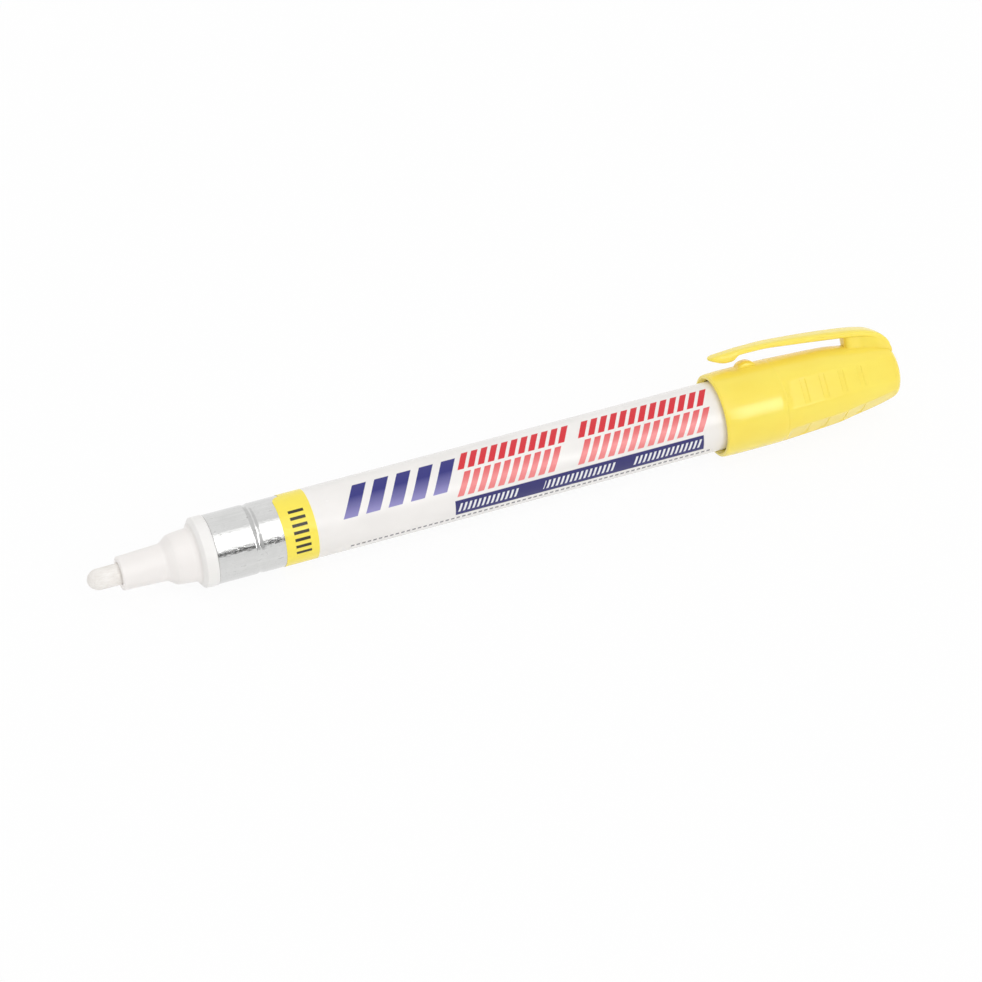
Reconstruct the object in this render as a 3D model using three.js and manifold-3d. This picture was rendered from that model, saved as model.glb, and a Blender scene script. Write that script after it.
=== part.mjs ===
// Valve-action paint marker lying on its side, with its cap posted on the rear end.
// Millimetres, +Z up. The axis runs along X: nib at -X, cap at +X. The origin is the centre
// of the bounding box, on the surface that the widest part of the cap lies on.
import * as THREE from 'three';
import { mergeVertices } from 'three/addons/utils/BufferGeometryUtils.js';
import Module from 'manifold-3d';

const wasm = await Module();
wasm.setup();

// Every turned piece has this many flats, tangent to its true radius, one of them straight down.
const SIDES = 24;

// Clearances
const SEAM = 0.02; // two faces that are pushed together
const FIT = 0.05; // radial, between pieces that are pressed or snapped together
const SLIDE = 0.1; // radial, between pieces that slide or turn in each other
const END_PLAY = 0.2; // axial, behind a piece that stops on another face

// Nib, and how far it can be pushed in
const NIB_RADIUS = 2.1;
const NIB_DOME = 2.4;
const NIB_REACH = 6.35;
const NIB_TRAVEL = 2.0;

// Nose cone
const NOSE_TIP_WALL = 1.15;
const NOSE_TIP_EDGE = 0.3;
const NOSE_TAPER = 0.35;
const NOSE_TUBE_LENGTH = 8.85;
const NOSE_FLARE_LENGTH = 2.2;
const NOSE_FLARE_RISE = 1.3;
const NOSE_BASE_LENGTH = 4.0;
const NOSE_BASE_RISE = 0.3;
const SPIGOT_WALL = 1.75;
const SPIGOT_LENGTH = 7.4;

// Valve body: collar between nose and barrel, plug inside the barrel
const COLLAR_LENGTH = 3.0;
const COLLAR_CHAMFER_LENGTH = 0.65;
const COLLAR_CHAMFER_DEPTH = 0.95;
const WEB_LENGTH = 6.0;
const PAINT_GAP = 0.7;
const CHAMBER_LENGTH = 5.0;

// Gasket ring between plug and barrel
const GASKET_SECTION = 1.4;
const GASKET_SECTION_SIDES = 8;
const GASKET_GROOVE_SPARE = 0.4;

// Valve stem, its seat, spring and cage
const STEM_RADIUS = 1.3;
const SEAT_LENGTH = 1.0;
const SEAT_LIP = 0.4;
const POPPET_RADIUS = 3.3;
const POPPET_LENGTH = 1.4;
const GUIDE_RADIUS = 1.2;
const GUIDE_STOP = 1.5;
const CAGE_WALL = 0.75;
const CAGE_LENGTH = 11.5;
const CAGE_FLOOR = 1.2;
const CAGE_HOLE_RADIUS = 1.6;
const CAGE_SLOTS = 4;
const CAGE_SLOT_WIDTH = 2.0;
const CAGE_SLOT_MARGIN = 1.0;
const SPRING_WIRE = 0.5;
const SPRING_GAP = 0.4;
const SPRING_TURNS = 7;
const SPRING_STEPS = 8;
const SPRING_SIDES = 5;

// Barrel with its rolled groove, and the ball that stirs the paint
const BARREL_RADIUS = 6.88;
const BARREL_WALL = 0.45;
const BARREL_LENGTH = 119.1;
const BARREL_END_WALL = 0.6;
const BARREL_END_CORNER = 1.5;
const ROLL_SETBACK = 8.6;
const ROLL_WIDTH = 1.8;
const ROLL_DEPTH = 0.2;
const BALL_RADIUS = 3.0;

// Label
const LABEL_THICKNESS = 0.1;
const LABEL_SETBACK = 13.6;
const LABEL_END_MARGIN = 4.2;

// Cap shell: places in its front half are measured from the rim, in its rear half from the end
const CAP_POSTED_DEPTH = 14.1;
const CAP_NIB_ROOM = 0.9;
const CAP_MOUTH_GAP = 0.9;
const CAP_RIM_WALL = 0.53;
const CAP_RIM_EDGE = 0.35;
const CAP_BELLY_RISE = 0.07;
const CAP_BELLY_START = 3.0;
const CAP_BELLY_END = 9.0;
const CAP_WAIST_PLACE = 17.0;
const CAP_WAIST_DROP = 0.25;
const CAP_MOUTH_DEPTH = 10.0;
const CAP_THROAT_GAP = 0.8;
const CAP_WALL = 1.25;
const CAP_END_WALL = 2.28;
const CAP_SHOULDER = { fromEnd: 13.7, drop: 0.75 };
const CAP_HIP = { fromEnd: 9.7, drop: 1.35 };
const CAP_CROWN = { fromEnd: 4.7, drop: 2.05 };
const CAP_CORNER = { fromEnd: 2.0, drop: 2.75 };
const CAP_END_RADIUS = 3.25;

// Clip, moulded on the cap and leaning away from straight up as the marker lies
const CLIP_LEAN = THREE.MathUtils.degToRad(28);
const CLIP_TIP = 1.4;
const CLIP_TIP_HEIGHT = 0.6;
const CLIP_TIP_DIP = 0.35;
const CLIP_PAD_START = 4.2;
const CLIP_PAD_END = 5.9;
const CLIP_PAD_HEEL = 7.2;
const CLIP_PAD_DROP = 1.0;
const CLIP_CREST = 12.1;
const CLIP_CREST_GAP = 2.7;
const CLIP_CREST_THICKNESS = 1.15;
const CLIP_ROOT_FROM_END = 10.5;
const CLIP_ROOT_GAP = 1.9;
const CLIP_ROOT_THICKNESS = 1.55;
const CLIP_BEND_FROM_END = 4.7;
const CLIP_BEND_DROP = 0.9;
const CLIP_BEND_HEIGHT = 4.8;
const CLIP_END_SETBACK = 0.4;
const CLIP_TIP_WIDTH = 3.4;
const CLIP_TIP_ROUND = 1.6;
const CLIP_ROOT_WIDTH = 5.4;

// Bump on the cap that keeps cloth under the clip
const KEEPER_START = 6.8;
const KEEPER_LENGTH = 3.9;
const KEEPER_HEIGHT = 1.0;
const KEEPER_WIDTH = 3.2;

// Grip flats with cross notches, a quarter turn apart, none under the clip
const GRIP_FLATS = 3;
const GRIP_START = 14.2;
const GRIP_FROM_END = 4.7;
const GRIP_DEPTH = 0.3;
const NOTCH_COUNT = 5;
const NOTCH_SETBACK = 0.6;
const NOTCH_PITCH = 4.2;
const NOTCH_WIDTH = 0.5;
const NOTCH_DEPTH = 0.25;
const NOTCH_REACH = 3.4;

// Cap liner
const LINER_WALL = 0.9;
const LINER_FLANGE_LENGTH = 1.2;
const LINER_FLOOR = 0.8;

// Places along the axis, from the tip of the nib
const noseFront = NIB_REACH;
const noseFlare = noseFront + NOSE_TUBE_LENGTH;
const noseBase = noseFlare + NOSE_FLARE_LENGTH;
const collarFront = noseBase + NOSE_BASE_LENGTH;
const barrelFront = collarFront + COLLAR_LENGTH;
const barrelEnd = barrelFront + BARREL_LENGTH;
const rollPlace = barrelFront + ROLL_SETBACK;
const spigotEnd = collarFront + SPIGOT_LENGTH;
const webFront = spigotEnd + END_PLAY;
const seatFace = webFront + WEB_LENGTH;
const plugEnd = seatFace + CHAMBER_LENGTH;
const nibEnd = webFront - NIB_TRAVEL - END_PLAY;
const stemFront = nibEnd + SEAM;
const poppetFace = seatFace + SEAT_LENGTH + 2 * SEAM;
const cageFront = poppetFace;
const cageEnd = cageFront + CAGE_LENGTH;
const cageFloor = cageEnd - CAGE_FLOOR;
const springFront = poppetFace + POPPET_LENGTH + SEAM;
const springEnd = cageFloor - SEAM;
const ballPlace = cageEnd + END_PLAY + BALL_RADIUS;
const labelFront = barrelFront + LABEL_SETBACK;
const labelEnd = barrelEnd - LABEL_END_MARGIN;
const capRim = barrelEnd - CAP_POSTED_DEPTH;

// Places inside the cap, from its rim: put back on the nose, it stops on the collar
const capStop = CAP_POSTED_DEPTH + END_PLAY;
const linerFront = capStop + (collarFront - noseFlare) + END_PLAY;
const linerFloor = capStop + collarFront + CAP_NIB_ROOM;
const linerEnd = linerFloor + LINER_FLOOR;
const capFloor = linerEnd + SEAM;
const capLength = capFloor + CAP_END_WALL;
const capEnd = capRim + capLength;

// Radii that follow from what fits in what
const nibBore = NIB_RADIUS + SLIDE;
const noseTipRadius = nibBore + NOSE_TIP_WALL;
const noseNeckRadius = noseTipRadius + NOSE_TAPER;
const noseShoulderRadius = noseNeckRadius + NOSE_FLARE_RISE;
const noseBaseRadius = noseShoulderRadius + NOSE_BASE_RISE;
const spigotRadius = nibBore + SPIGOT_WALL;
const barrelBore = BARREL_RADIUS - BARREL_WALL;
const plugRadius = barrelBore - FIT;
const gasketRadius = plugRadius - ROLL_DEPTH;
const stemBore = STEM_RADIUS + PAINT_GAP;
const cageBore = POPPET_RADIUS + 2 * SLIDE;
const cageRadius = cageBore + CAGE_WALL;
const springRadius = GUIDE_RADIUS + SPRING_GAP + SPRING_WIRE / 2;
const labelBore = BARREL_RADIUS + SEAM;
const labelRadius = labelBore + LABEL_THICKNESS;
const collarRadius = labelRadius;
const capMouthBore = labelRadius + CAP_MOUTH_GAP;
const capRimRadius = capMouthBore + CAP_RIM_WALL;
const capBellyRadius = capRimRadius + CAP_BELLY_RISE;
const capGripBore = collarRadius + FIT;
const capThroat = noseBaseRadius + CAP_THROAT_GAP;
const linerBore = noseNeckRadius + 2 * SLIDE;
const linerRadius = linerBore + LINER_WALL;
const linerFlange = capThroat - SLIDE;
const capFloorRadius = linerRadius + SLIDE;

// Closed mesh from any three.js geometry: only positions, shared vertices merged, no empty faces
function closedMesh(geometry) {
  const bare = new THREE.BufferGeometry();
  bare.setAttribute('position', geometry.getAttribute('position').clone());
  if (geometry.index) bare.setIndex(geometry.index.clone());
  const merged = mergeVertices(bare, 1e-4);
  const corners = merged.index.array;
  const kept = [];
  for (let i = 0; i < corners.length; i += 3) {
    const [a, b, c] = [corners[i], corners[i + 1], corners[i + 2]];
    if (a !== b && b !== c && c !== a) kept.push(a, b, c);
  }
  merged.setIndex(kept);
  return merged;
}

function solid(geometry) {
  const mesh = closedMesh(geometry);
  return new wasm.Manifold(new wasm.Mesh({
    numProp: 3,
    vertProperties: new Float32Array(mesh.getAttribute('position').array),
    triVerts: new Uint32Array(mesh.index.array),
  }));
}

function geometryOf(manifold) {
  const mesh = manifold.getMesh();
  const geometry = new THREE.BufferGeometry();
  geometry.setAttribute('position', new THREE.BufferAttribute(mesh.vertProperties, 3));
  geometry.setIndex(new THREE.BufferAttribute(mesh.triVerts, 1));
  return geometry;
}

// Piece turned about X from an outline of [place, radius] points. The outline runs towards +X on
// its outer side. It starts and ends on the axis, or is closed here where it doesn't.
function turned(outline) {
  const onAxis = outline[0][1] === 0;
  const points = onAxis ? outline : [...outline, outline[0]];
  const cornerScale = 1 / Math.cos(Math.PI / SIDES);
  const profile = points.map(([place, radius]) => new THREE.Vector2(radius * cornerScale, place));
  const lathe = new THREE.LatheGeometry(profile, SIDES, Math.PI / SIDES, 2 * Math.PI);
  return closedMesh(lathe.rotateZ(-Math.PI / 2));
}

// Flat outline of [place, height] points, made as thick as width and centred on the XZ plane
function plate(outline, width) {
  const shape = new THREE.Shape(outline.map(([place, height]) => new THREE.Vector2(place, height)));
  const slab = new THREE.ExtrudeGeometry(shape, { depth: width, bevelEnabled: false });
  return slab.translate(0, 0, -width / 2).rotateX(Math.PI / 2);
}

// Points of a quarter ellipse from one end of its arc to the other
function quarterArc(centre, size, fromAngle, toAngle, steps) {
  return Array.from({ length: steps + 1 }, (_, i) => {
    const angle = THREE.MathUtils.degToRad(fromAngle + ((toAngle - fromAngle) * i) / steps);
    return [centre[0] + size[0] * Math.cos(angle), centre[1] + size[1] * Math.sin(angle)];
  });
}

// Radius of an outline at a place along it
function radiusAt(outline, place) {
  for (let i = 1; i < outline.length; i++) {
    const [p0, r0] = outline[i - 1];
    const [p1, r1] = outline[i];
    if (place >= p0 && place <= p1 && p1 > p0) return r0 + ((r1 - r0) * (place - p0)) / (p1 - p0);
  }
  return outline[outline.length - 1][1];
}

function nib() {
  const dome = quarterArc([NIB_DOME, 0], [NIB_DOME, NIB_RADIUS], 180, 90, 5);
  dome[0] = [0, 0];
  return turned([...dome, [nibEnd, NIB_RADIUS], [nibEnd, 0]]);
}

function noseCone() {
  const edge = quarterArc(
    [noseFront + NOSE_TIP_EDGE, noseTipRadius - NOSE_TIP_EDGE],
    [NOSE_TIP_EDGE, NOSE_TIP_EDGE], 180, 90, 2);
  const seat = collarFront - SEAM;
  return turned([
    [spigotEnd, nibBore],
    [noseFront, nibBore],
    ...edge,
    [noseFlare, noseNeckRadius],
    [noseFlare + 0.75 * NOSE_FLARE_LENGTH, noseNeckRadius + 0.9 * NOSE_FLARE_RISE],
    [noseBase, noseShoulderRadius],
    [seat, noseBaseRadius],
    [seat, spigotRadius],
    [spigotEnd, spigotRadius],
  ]);
}

function valveBody() {
  const grooveHalf = (ROLL_WIDTH + GASKET_GROOVE_SPARE) / 2;
  const grooveFloor = gasketRadius - GASKET_SECTION - FIT;
  const socket = spigotRadius + FIT;
  const chamber = cageRadius + FIT;
  return turned([
    [plugEnd, chamber],
    [seatFace, chamber],
    [seatFace, stemBore],
    [webFront, stemBore],
    [webFront, socket],
    [collarFront, socket],
    [collarFront, collarRadius - COLLAR_CHAMFER_DEPTH],
    [collarFront + COLLAR_CHAMFER_LENGTH, collarRadius],
    [barrelFront - SEAM, collarRadius],
    [barrelFront - SEAM, plugRadius],
    [rollPlace - grooveHalf, plugRadius],
    [rollPlace - grooveHalf, grooveFloor],
    [rollPlace + grooveHalf, grooveFloor],
    [rollPlace + grooveHalf, plugRadius],
    [plugEnd, plugRadius],
  ]);
}

function barrelGasket() {
  const half = GASKET_SECTION / 2;
  const ring = Array.from({ length: GASKET_SECTION_SIDES }, (_, i) => {
    const angle = Math.PI - (2 * Math.PI * i) / GASKET_SECTION_SIDES;
    return [rollPlace + half * Math.cos(angle), gasketRadius - half + half * Math.sin(angle)];
  });
  return turned(ring);
}

function valveSeat() {
  const front = seatFace + SEAM;
  const back = front + SEAT_LENGTH;
  const outer = cageRadius;
  const inner = stemBore + SEAT_LIP;
  return turned([[back, inner], [front, inner], [front, outer], [back, outer]]);
}

function valveStem() {
  const poppetBack = poppetFace + POPPET_LENGTH;
  const guideEnd = cageFloor - NIB_TRAVEL - GUIDE_STOP;
  return turned([
    [stemFront, 0],
    [stemFront, STEM_RADIUS],
    [poppetFace, STEM_RADIUS],
    [poppetFace, POPPET_RADIUS],
    [poppetBack, POPPET_RADIUS],
    [poppetBack, GUIDE_RADIUS],
    [guideEnd, GUIDE_RADIUS],
    [guideEnd, 0],
  ]);
}

// Spring wound round the guide of the stem: one unbroken tube, ends capped
function valveSpring() {
  const wireRadius = SPRING_WIRE / 2;
  const front = springFront + wireRadius;
  const length = springEnd - wireRadius - front;
  const rings = SPRING_TURNS * SPRING_STEPS;
  const centres = [];
  for (let i = 0; i <= rings; i++) {
    const turn = (2 * Math.PI * i) / SPRING_STEPS;
    const place = front + (length * i) / rings;
    centres.push(new THREE.Vector3(
      place, springRadius * Math.sin(turn), springRadius * Math.cos(turn)));
  }
  printLeastGap(centres);
  const positions = [];
  const faces = [];
  centres.forEach((centre, i) => {
    const outward = new THREE.Vector3(0, centre.y, centre.z).normalize();
    const rise = new THREE.Vector3(1, 0, 0);
    for (let k = 0; k < SPRING_SIDES; k++) {
      const angle = (2 * Math.PI * k) / SPRING_SIDES;
      const point = centre.clone()
        .addScaledVector(outward, wireRadius * Math.cos(angle))
        .addScaledVector(rise, wireRadius * Math.sin(angle));
      positions.push(point.x, point.y, point.z);
    }
    if (i === 0) return;
    for (let k = 0; k < SPRING_SIDES; k++) {
      const next = (k + 1) % SPRING_SIDES;
      const [a, b] = [(i - 1) * SPRING_SIDES + k, (i - 1) * SPRING_SIDES + next];
      faces.push(a, b, b + SPRING_SIDES, a, b + SPRING_SIDES, a + SPRING_SIDES);
    }
  });
  const last = rings * SPRING_SIDES;
  for (let k = 1; k < SPRING_SIDES - 1; k++) {
    faces.push(0, k + 1, k);
    faces.push(last, last + k, last + k + 1);
  }
  const tube = new THREE.BufferGeometry();
  tube.setAttribute('position', new THREE.Float32BufferAttribute(positions, 3));
  tube.setIndex(faces);
  return tube;
}

// Least distance between turns of the spring, measured on its own points
function printLeastGap(centres) {
  let least = Infinity;
  for (let i = 0; i < centres.length; i++) {
    for (let j = i + SPRING_STEPS - 2; j < centres.length; j++) {
      least = Math.min(least, centres[i].distanceTo(centres[j]));
    }
  }
  console.log(`valve_spring: least gap between turns ${(least - SPRING_WIRE).toFixed(2)} mm`);
}

function springCage() {
  const cup = solid(turned([
    [cageFloor, CAGE_HOLE_RADIUS],
    [cageFloor, cageBore],
    [cageFront, cageBore],
    [cageFront, cageRadius],
    [cageEnd, cageRadius],
    [cageEnd, CAGE_HOLE_RADIUS],
  ]));
  const slotFront = plugEnd + CAGE_SLOT_MARGIN;
  const slotLength = cageFloor - slotFront;
  let cage = cup;
  for (let i = 0; i < CAGE_SLOTS / 2; i++) {
    const slot = new THREE.BoxGeometry(slotLength, CAGE_SLOT_WIDTH, 3 * cageRadius);
    slot.translate(slotFront + slotLength / 2, 0, 0).rotateX((2 * Math.PI * i) / CAGE_SLOTS);
    cage = cage.subtract(solid(slot));
  }
  return geometryOf(cage);
}

function barrel() {
  const half = ROLL_WIDTH / 2;
  const inner = barrelBore;
  const rollIn = half - BARREL_WALL / 2;
  const corner = quarterArc(
    [barrelEnd - BARREL_END_CORNER, BARREL_RADIUS - BARREL_END_CORNER],
    [BARREL_END_CORNER, BARREL_END_CORNER], 90, 0, 4);
  const floor = barrelEnd - BARREL_END_WALL;
  const innerCorner = quarterArc(
    [floor - BARREL_END_CORNER + BARREL_WALL, inner - BARREL_END_CORNER + BARREL_WALL],
    [BARREL_END_CORNER - BARREL_WALL, BARREL_END_CORNER - BARREL_WALL], 0, 90, 3);
  return turned([
    [floor, 0],
    ...innerCorner,
    [rollPlace + rollIn, inner],
    [rollPlace, inner - ROLL_DEPTH],
    [rollPlace - rollIn, inner],
    [barrelFront, inner],
    [barrelFront, BARREL_RADIUS],
    [rollPlace - half, BARREL_RADIUS],
    [rollPlace - half / 2, BARREL_RADIUS - 0.75 * ROLL_DEPTH],
    [rollPlace, BARREL_RADIUS - ROLL_DEPTH],
    [rollPlace + half / 2, BARREL_RADIUS - 0.75 * ROLL_DEPTH],
    [rollPlace + half, BARREL_RADIUS],
    ...corner,
    [barrelEnd, 0],
  ]);
}

function label() {
  return turned([
    [labelEnd, labelBore],
    [labelFront, labelBore],
    [labelFront, labelRadius],
    [labelEnd, labelRadius],
  ]);
}

// The ball lies on the bottom of the barrel's bore, in front
function mixingBall() {
  const ball = new THREE.SphereGeometry(BALL_RADIUS, 16, 10);
  return ball.translate(ballPlace, 0, -(barrelBore - SLIDE - BALL_RADIUS));
}

// Outside of the cap as [distance from rim, radius], from the rim's edge to the flat end
function capOutside() {
  const rim = quarterArc(
    [CAP_RIM_EDGE, capRimRadius - CAP_RIM_EDGE], [CAP_RIM_EDGE, CAP_RIM_EDGE], 180, 90, 2);
  const fromEnd = ({ fromEnd: back, drop }) => [capLength - back, capBellyRadius - drop];
  const [corner, cornerRadius] = fromEnd(CAP_CORNER);
  const round = quarterArc(
    [corner, CAP_END_RADIUS], [capLength - corner, cornerRadius - CAP_END_RADIUS], 90, 0, 4);
  return [
    ...rim,
    [CAP_BELLY_START, capBellyRadius],
    [CAP_BELLY_END, capBellyRadius],
    [CAP_WAIST_PLACE, capBellyRadius - CAP_WAIST_DROP],
    fromEnd(CAP_SHOULDER),
    fromEnd(CAP_HIP),
    fromEnd(CAP_CROWN),
    ...round,
  ];
}

// Hollow of the cap: wide mouth, grip on the barrel, stop, throat and tapered seat of the liner
function capHollow() {
  return solid(turned([
    [-CAP_RIM_WALL, 0],
    [-CAP_RIM_WALL, capMouthBore],
    [CAP_MOUTH_DEPTH, capMouthBore],
    [CAP_MOUTH_DEPTH + CAP_MOUTH_GAP, capGripBore],
    [capStop, capGripBore],
    [capStop, capThroat],
    [capLength - CAP_HIP.fromEnd - CAP_WALL, capThroat],
    [capFloor, capFloorRadius],
    [capFloor, 0],
  ]));
}

// Side view of the clip as [distance from rim, distance from the axis]
function clipSide() {
  const outside = capOutside();
  const root = capLength - CLIP_ROOT_FROM_END;
  const mix = (a, b, d) => a + ((b - a) * (d - CLIP_CREST)) / (root - CLIP_CREST);
  const under = (d) => radiusAt(outside, d) + mix(CLIP_CREST_GAP, CLIP_ROOT_GAP, d);
  const outer = (d) => under(d) + mix(CLIP_CREST_THICKNESS, CLIP_ROOT_THICKNESS, d);
  const along = [1 / 3, 2 / 3].map((t) => CLIP_CREST + (root - CLIP_CREST) * t);
  const tipTop = outer(CLIP_CREST) - CLIP_TIP_DIP;
  const padLow = under(CLIP_CREST) - CLIP_PAD_DROP;
  const bend = capLength - CLIP_BEND_FROM_END;
  const bendLow = outer(root) - CLIP_BEND_DROP - CLIP_BEND_HEIGHT;
  const bendReach = CLIP_BEND_FROM_END - CLIP_END_SETBACK;
  return [
    [CLIP_TIP, tipTop - CLIP_TIP_HEIGHT],
    [CLIP_TIP + CLIP_TIP_HEIGHT, tipTop],
    [CLIP_PAD_HEEL, outer(CLIP_CREST)],
    [CLIP_CREST, outer(CLIP_CREST)],
    ...along.map((d) => [d, outer(d)]),
    [root, outer(root)],
    ...quarterArc([bend, bendLow], [bendReach, CLIP_BEND_HEIGHT], 90, 0, 6),
    [bend + bendReach, 0],
    [root, 0],
    [root, under(root)],
    ...along.reverse().map((d) => [d, under(d)]),
    [CLIP_CREST, under(CLIP_CREST)],
    [CLIP_PAD_HEEL, under(CLIP_CREST)],
    [CLIP_PAD_END, padLow],
    [CLIP_PAD_START, padLow],
  ];
}

// Clip seen from above: a rounded tip, growing wider towards the root
function clipPlan() {
  const half = CLIP_TIP_WIDTH / 2;
  const tip = quarterArc([CLIP_TIP + CLIP_TIP_ROUND, 0], [CLIP_TIP_ROUND, half], 180, 90, 4);
  const side = [...tip, [capLength, CLIP_ROOT_WIDTH / 2]];
  const shape = new THREE.Shape(
    [...side, ...side.slice(1).reverse().map(([d, y]) => [d, -y])]
      .map(([d, y]) => new THREE.Vector2(d, y)));
  const height = 2 * (capBellyRadius + CLIP_CREST_GAP + CLIP_CREST_THICKNESS);
  return solid(new THREE.ExtrudeGeometry(shape, { depth: height, bevelEnabled: false }));
}

function clip() {
  return solid(plate(clipSide(), 2 * CLIP_ROOT_WIDTH)).intersect(clipPlan());
}

function keeper() {
  const half = KEEPER_LENGTH / 2;
  const base = capBellyRadius - CAP_WALL / 4;
  const bump = quarterArc(
    [KEEPER_START + half, base], [half, KEEPER_HEIGHT + CAP_WALL / 4], 180, 0, 6);
  return solid(plate(bump, KEEPER_WIDTH));
}

// One grip flat with its cross notches, to be cut from the top of the cap
function gripCut() {
  const outside = capOutside();
  const end = capLength - GRIP_FROM_END;
  const top = capBellyRadius + KEEPER_HEIGHT;
  const stations = [GRIP_START, CAP_WAIST_PLACE, capLength - CAP_SHOULDER.fromEnd,
    capLength - CAP_HIP.fromEnd, end];
  const floor = stations.map((d) => [d, radiusAt(outside, d) - GRIP_DEPTH]);
  let cut = solid(plate([[GRIP_START, top], [end, top], ...floor.reverse()], capBellyRadius));
  for (let i = 0; i < NOTCH_COUNT; i++) {
    const place = GRIP_START + NOTCH_SETBACK + i * NOTCH_PITCH;
    const low = radiusAt(outside, place) - GRIP_DEPTH - NOTCH_DEPTH;
    const notch = new THREE.BoxGeometry(NOTCH_WIDTH, NOTCH_REACH, top - low);
    cut = cut.add(solid(notch.translate(place, 0, (top + low) / 2)));
  }
  return cut;
}

// Cap shell with its clip, keeper and grips, made with the clip straight up and then leaned
function cap() {
  const lean = -THREE.MathUtils.radToDeg(CLIP_LEAN);
  const outside = solid(turned([[0, 0], ...capOutside(), [capLength, 0]]));
  let shell = outside.add(clip().rotate([lean, 0, 0])).add(keeper().rotate([lean, 0, 0]));
  for (let i = 1; i <= GRIP_FLATS; i++) {
    const turn = (360 * i) / (GRIP_FLATS + 1);
    shell = shell.subtract(gripCut().rotate([lean + turn, 0, 0]));
  }
  return geometryOf(shell.subtract(capHollow()).translate([capRim, 0, 0]));
}

function capLiner() {
  const at = (points) => points.map(([place, radius]) => [capRim + place, radius]);
  return turned(at([
    [linerFloor, 0],
    [linerFloor, linerBore],
    [linerFront, linerBore],
    [linerFront, linerFlange],
    [linerFront + LINER_FLANGE_LENGTH, linerFlange],
    [linerFront + LINER_FLANGE_LENGTH, linerRadius],
    [linerEnd, linerRadius],
    [linerEnd, 0],
  ]));
}

const finishes = {
  fibre: { color: '#f4f0ec', roughness: 0.95, metalness: 0 },
  warmPlastic: { color: '#f6f1ea', roughness: 0.5, metalness: 0 },
  coolPlastic: { color: '#f0f0ee', roughness: 0.4, metalness: 0 },
  innerPlastic: { color: '#e4e6e6', roughness: 0.45, metalness: 0 },
  rubber: { color: '#2b2b2c', roughness: 0.8, metalness: 0 },
  steel: { color: '#c2c4c6', roughness: 0.25, metalness: 1 },
  aluminium: { color: '#d3d3d2', roughness: 0.3, metalness: 1 },
  film: { color: '#f2efec', roughness: 0.35, metalness: 0 },
  yellowPlastic: { color: '#fde466', roughness: 0.4, metalness: 0 },
};

const pieces = [
  ['nib', nib(), finishes.fibre],
  ['nose_cone', noseCone(), finishes.warmPlastic],
  ['valve_body', valveBody(), finishes.coolPlastic],
  ['barrel_gasket', barrelGasket(), finishes.rubber],
  ['valve_seat', valveSeat(), finishes.rubber],
  ['valve_stem', valveStem(), finishes.innerPlastic],
  ['valve_spring', valveSpring(), finishes.steel],
  ['spring_cage', springCage(), finishes.innerPlastic],
  ['barrel', barrel(), finishes.aluminium],
  ['label', label(), finishes.film],
  ['mixing_ball', mixingBall(), finishes.steel],
  ['cap_liner', capLiner(), finishes.innerPlastic],
  ['cap', cap(), finishes.yellowPlastic],
];

const group = new THREE.Group();
group.position.set(-capEnd / 2, 0, capBellyRadius);
for (const [name, geometry, finish] of pieces) {
  const mesh = new THREE.Mesh(geometry, new THREE.MeshStandardMaterial(finish));
  mesh.name = name;
  group.add(mesh);
}
group.updateMatrixWorld(true);

export default group;
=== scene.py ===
import math

import bpy
from mathutils import Matrix, Vector


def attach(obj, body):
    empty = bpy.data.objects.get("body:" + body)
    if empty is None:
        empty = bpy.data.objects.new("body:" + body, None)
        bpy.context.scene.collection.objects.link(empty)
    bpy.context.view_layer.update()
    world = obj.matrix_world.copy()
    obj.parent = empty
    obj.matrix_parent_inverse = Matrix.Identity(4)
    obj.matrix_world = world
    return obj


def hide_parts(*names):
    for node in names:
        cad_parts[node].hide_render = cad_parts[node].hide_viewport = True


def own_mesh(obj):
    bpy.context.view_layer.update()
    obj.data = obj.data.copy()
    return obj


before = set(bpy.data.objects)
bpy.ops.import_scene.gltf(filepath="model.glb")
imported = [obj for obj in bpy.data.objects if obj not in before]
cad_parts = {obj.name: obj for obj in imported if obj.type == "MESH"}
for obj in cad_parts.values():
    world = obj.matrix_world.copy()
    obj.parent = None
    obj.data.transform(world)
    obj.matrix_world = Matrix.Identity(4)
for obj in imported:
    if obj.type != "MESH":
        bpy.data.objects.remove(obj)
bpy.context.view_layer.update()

# Paint marker on its side, cap posted on the rear end. Lengths are millimetres. Places along the
# axis count from the nib's tip, and on the cap from its rim. Angles round the axis are degrees
# from straight up towards the camera's side, and CAMERA_SIDE faces the camera.
MM = 0.001
NIB_TIP = -84.55
AXIS_HEIGHT = 8.5
AXIS = (0.0, 0.0, AXIS_HEIGHT * MM)
CAMERA_SIDE = 44.9

# Places along the axis
NOSE_FRONT = 6.35
NOSE_FLARE = 15.2
NOSE_BASE = 17.4
COLLAR_FRONT = 21.4
BARREL_FRONT = 24.4
NIB_END = 26.8
SPIGOT_END = 28.8
WEB_FRONT = 29.0
ROLL_PLACE = 33.0
SEAT_FACE = 35.0
POPPET_FACE = 36.04
SPRING_FRONT = 37.46
LABEL_FRONT = 38.0
PLUG_END = 40.0
SPRING_END = 46.32
CAGE_FLOOR = 46.34
CAGE_END = 47.54
BALL_PLACE = 50.74
CAP_RIM = 129.4
LABEL_END = 139.3
BARREL_END = 143.5
CAP_LENGTH = 39.7

# Radii
NIB_RADIUS = 2.1
NIB_BORE = 2.2
STEM_RADIUS = 1.3
STEM_BORE = 2.0
SPIGOT_RADIUS = 3.95
SOCKET_RADIUS = 4.0
CHAMBER_RADIUS = 4.3
COLLAR_RADIUS = 7.0
PLUG_RADIUS = 6.38
BARREL_RADIUS = 6.88
BARREL_BORE = 6.43
LABEL_BORE = 6.9
LABEL_RADIUS = 7.0
BALL_RADIUS = 3.0

# Room between pieces that lie against each other
GAP = 0.02

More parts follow.
